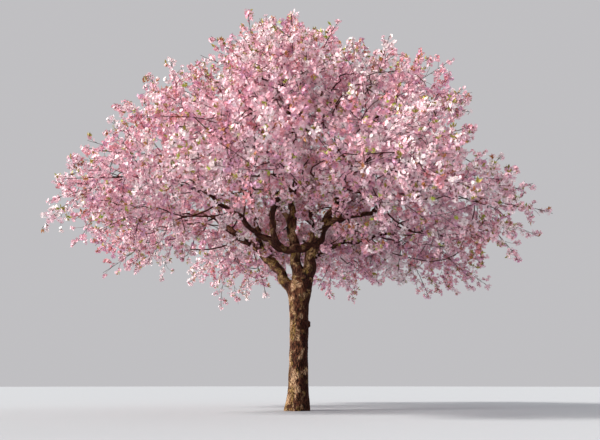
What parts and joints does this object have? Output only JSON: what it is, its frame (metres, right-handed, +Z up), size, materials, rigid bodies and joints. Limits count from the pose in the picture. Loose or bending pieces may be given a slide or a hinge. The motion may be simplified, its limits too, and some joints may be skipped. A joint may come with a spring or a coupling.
{
  "type": "cherry blossom tree",
  "caption": "Avenue cherry tree in full pink blossom, with a clear forked trunk, rising boughs and a wide rounded head of blossom sprays.",
  "frame": {"origin": "middle of the flat cut under the trunk, at ground level", "axes": "+Z up along the trunk; +X to the right and +Y away, as seen from the middle of the avenue"},
  "size_m": [10.0229, 9.7739, 8.3495],
  "materials": {
    "bark": "rough fissured bark, brown with yellow-green lichen and a darker shaded side",
    "bough_bark": "red-brown bark with bands of pores across it, paler on top",
    "blossom": "soft matt pink petals, from near white to deep pink",
    "twig_bark": "thin dark red-brown twigs, slightly satin",
    "young_leaf": "small young leaves, olive green to bronze"
  },
  "bodies": {
    "root": {"trunk": "bark", "right_leader": "bough_bark", "left_leader": "bough_bark", "left_bough": "bough_bark", "back_bough": "bough_bark", "cross_bough": "bough_bark", "reach_bough": "bough_bark", "near_right_bough": "bough_bark", "near_bough": "bough_bark", "far_right_bough": "bough_bark", "far_left_bough": "bough_bark", "right_riser": "bough_bark", "back_riser": "bough_bark", "left_riser": "bough_bark", "near_left_riser": "bough_bark", "near_riser": "bough_bark", "top_right_riser": "bough_bark", "top_near_riser": "bough_bark", "skirt_blossom_1": "blossom", "skirt_blossom_2": "blossom", "skirt_blossom_3": "blossom", "skirt_blossom_4": "blossom", "skirt_blossom_5": "blossom", "skirt_blossom_6": "blossom", "skirt_blossom_7": "blossom", "skirt_blossom_8": "blossom", "upper_blossom_1": "blossom", "upper_blossom_2": "blossom", "upper_blossom_3": "blossom", "upper_blossom_4": "blossom", "upper_blossom_5": "blossom", "upper_blossom_6": "blossom", "top_blossom_1": "blossom", "top_blossom_2": "blossom", "top_blossom_3": "blossom"}
  },
  "joints": []
}
